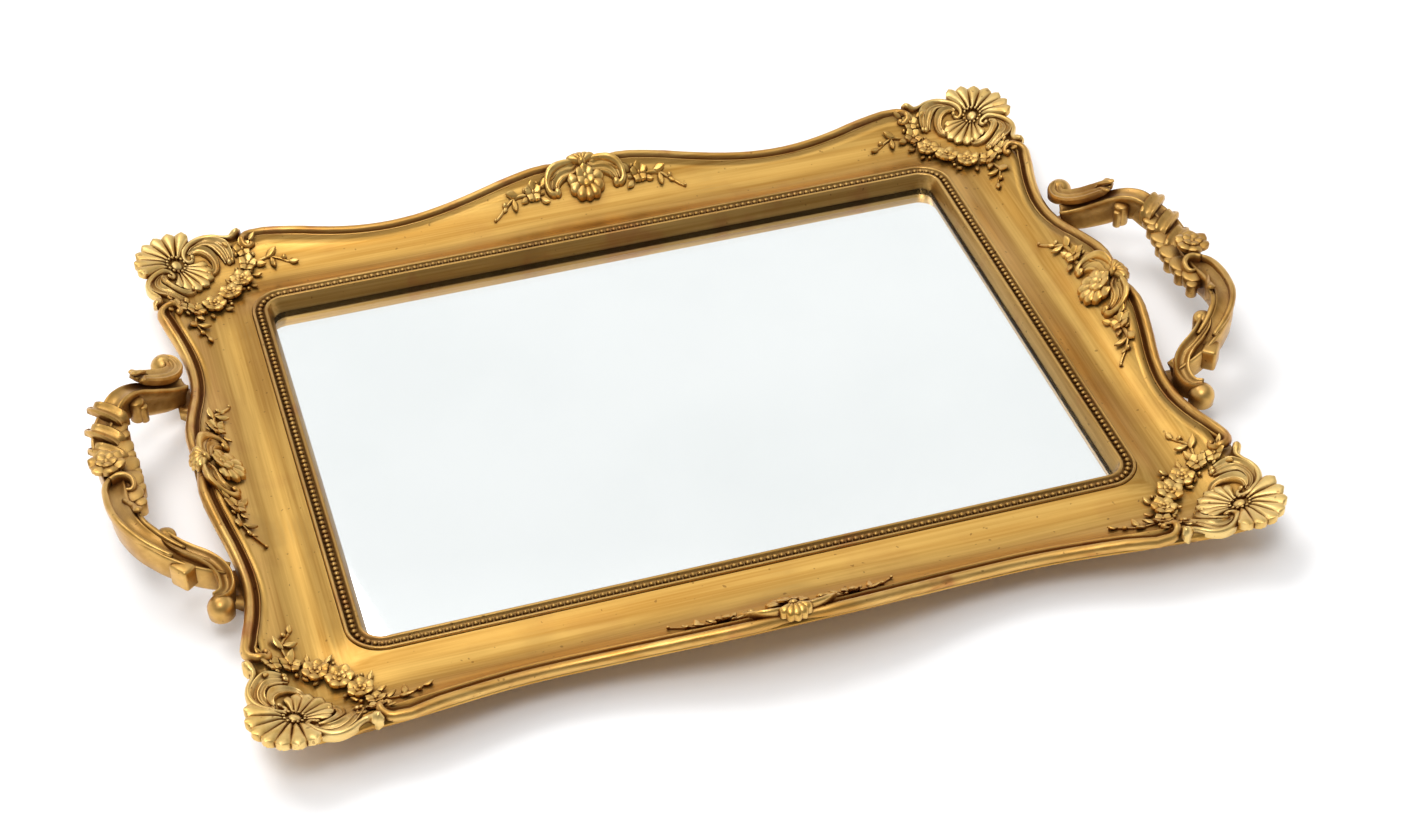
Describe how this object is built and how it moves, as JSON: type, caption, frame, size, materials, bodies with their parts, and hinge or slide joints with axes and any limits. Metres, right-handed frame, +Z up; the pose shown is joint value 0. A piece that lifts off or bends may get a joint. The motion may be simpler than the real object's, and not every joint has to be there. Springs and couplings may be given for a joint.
{
  "type": "vanity tray",
  "caption": "Ornate gilt mirror tray with a swept moulding, beaded sight edge, corner shells and garlands, crests on each side and a cast scroll handle at each end.",
  "frame": {"origin": "centre of the tray's footprint, on the table under the felt pads", "axes": "+X along the long side towards the right handle, +Y to the far side, +Z up"},
  "size_m": [0.4618, 0.309, 0.032],
  "materials": {
    "gilt_moulding": "antique gold leaf paint on cast resin, satin, brushed along the rails, brown in the seams and copper red rubbed through on the high edges",
    "gilt_liner": "antique gold on cast resin, darker brown in the groove round the beads",
    "gilt_ornament": "pale antique gold on cast resin, brown in the recesses",
    "gilt_handle": "antique gold paint over cast metal, satin, rubbed to copper red on the edges",
    "glass": "clear float glass",
    "silvering": "silvered mirror coat",
    "packing_card": "plain grey-brown card",
    "frame_wood": "bare pale hardwood",
    "board": "dark stained fibreboard",
    "screw_steel": "zinc plated",
    "felt": "black pressed felt"
  },
  "bodies": {
    "root": {"cove_moulding": "gilt_moulding", "rim_roll_far": "gilt_moulding", "rim_roll_near": "gilt_moulding", "rim_roll_left": "gilt_moulding", "rim_roll_right": "gilt_moulding", "bead_liner": "gilt_liner", "mirror_glass": "glass", "mirror_silvering": "silvering", "packing_sheet": "packing_card", "base_frame": "frame_wood", "backing_board": "board", "board_screws": "screw_steel", "felt_pads": "felt", "handle_left": "gilt_handle", "handle_right": "gilt_handle", "handle_screws": "screw_steel", "corner_cartouche_fl": "gilt_ornament", "corner_cartouche_fr": "gilt_ornament", "corner_cartouche_nl": "gilt_ornament", "corner_cartouche_nr": "gilt_ornament", "corner_garland_fl": "gilt_ornament", "corner_garland_fr": "gilt_ornament", "corner_garland_nl": "gilt_ornament", "corner_garland_nr": "gilt_ornament", "centre_crest_far": "gilt_ornament", "centre_crest_near": "gilt_ornament", "centre_crest_left": "gilt_ornament", "centre_crest_right": "gilt_ornament", "spray_far_left": "gilt_ornament", "spray_far_right": "gilt_ornament", "spray_near_left": "gilt_ornament", "spray_near_right": "gilt_ornament", "spray_left_far": "gilt_ornament", "spray_left_near": "gilt_ornament", "spray_right_far": "gilt_ornament", "spray_right_near": "gilt_ornament"}
  },
  "joints": []
}
